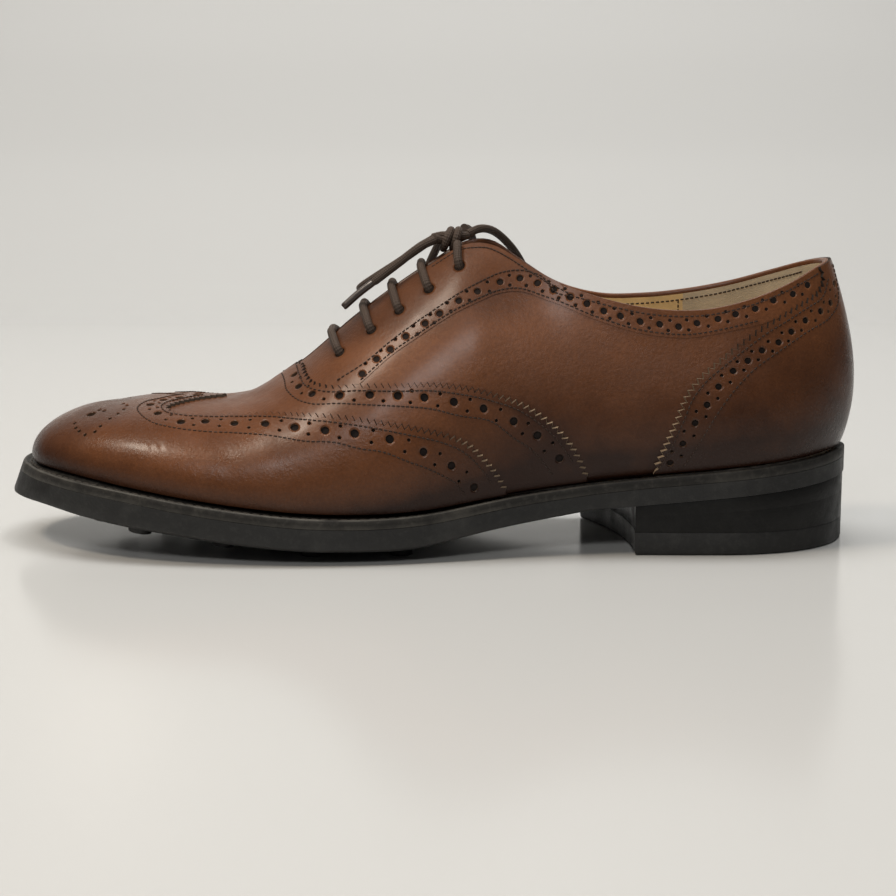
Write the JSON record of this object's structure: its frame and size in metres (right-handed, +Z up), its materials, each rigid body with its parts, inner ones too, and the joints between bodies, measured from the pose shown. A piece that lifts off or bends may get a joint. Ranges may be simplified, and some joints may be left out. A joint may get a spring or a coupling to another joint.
{
  "type": "wingtip shoe",
  "caption": "Man's left brogue dress shoe with a wing cap, closed lacing, welted studded rubber sole and stacked heel.",
  "frame": {"origin": "on the floor under the middle of the shoe's box", "axes": "+X from toe to heel, -Y toward the outer side of the foot, +Z up"},
  "size_m": [0.3052, 0.108, 0.1129],
  "materials": {
    "calf": "polished mid-brown calf",
    "burnished_calf": "burnished brown calf, a little darker",
    "lining": "matt tan lining leather",
    "welt": "black edge dressing, satin",
    "sole_rubber": "matt black rubber",
    "heel": "black, satin, faint lift lines",
    "lace": "dark brown waxed round lace"
  },
  "bodies": {
    "root": {"upper": "calf", "vamp": "calf", "wing_cap": "burnished_calf", "heel_counter": "burnished_calf", "facing_strip_outer": "calf", "facing_strip_inner": "calf", "tongue": "calf", "insole": "lining", "welt": "welt", "outsole": "sole_rubber", "heel_block": "heel", "heel_top_piece": "sole_rubber", "lace_bar_1": "lace", "lace_bar_2": "lace", "lace_bar_3": "lace", "lace_bar_4": "lace", "lace_top_outer": "lace", "lace_top_inner": "lace", "lace_knot": "lace", "lace_loop_front": "lace", "lace_loop_rear": "lace", "lace_end_front": "lace", "lace_end_rear": "lace"}
  },
  "joints": []
}
